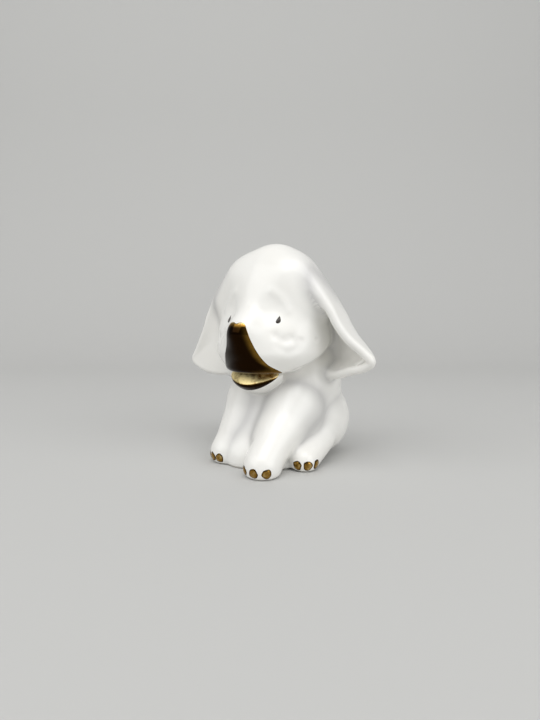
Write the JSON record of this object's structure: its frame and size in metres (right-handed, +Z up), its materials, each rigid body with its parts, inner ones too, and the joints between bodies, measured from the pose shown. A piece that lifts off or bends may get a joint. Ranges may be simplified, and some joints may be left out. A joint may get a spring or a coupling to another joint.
{
  "type": "porcelain elephant figurine",
  "caption": "Small glazed porcelain figurine of a seated elephant calf with its trunk raised, wide cupped ears, painted eyes and gold lustre on trunk, lip and toenails.",
  "frame": {"origin": "on the resting plane, under the middle of the overall box", "axes": "+Z up, -Y the way the calf faces, +X to the calf's own left, across the ears"},
  "size_m": [0.077, 0.059, 0.0749],
  "materials": {
    "porcelain": "clear gloss glaze over white porcelain",
    "gold_lustre": "mirror-bright fired gold lustre, brushed on by hand",
    "eye_enamel": "glossy dark brown overglaze enamel"
  },
  "bodies": {
    "root": {"body_casting": "porcelain", "head_casting": "porcelain", "left_ear": "porcelain", "right_ear": "porcelain", "trunk": "porcelain", "lower_lip": "porcelain", "tail": "porcelain", "left_front_leg": "porcelain", "left_hind_leg": "porcelain", "right_front_leg": "porcelain", "right_hind_leg": "porcelain", "trunk_gold": "gold_lustre", "lower_lip_gold": "gold_lustre", "left_front_nail_1": "gold_lustre", "left_front_nail_2": "gold_lustre", "left_front_nail_3": "gold_lustre", "left_hind_nail_1": "gold_lustre", "left_hind_nail_2": "gold_lustre", "left_hind_nail_3": "gold_lustre", "right_front_nail_1": "gold_lustre", "right_front_nail_2": "gold_lustre", "right_front_nail_3": "gold_lustre", "right_hind_nail_1": "gold_lustre", "right_hind_nail_2": "gold_lustre", "right_hind_nail_3": "gold_lustre", "left_eye": "eye_enamel", "right_eye": "eye_enamel"}
  },
  "joints": []
}
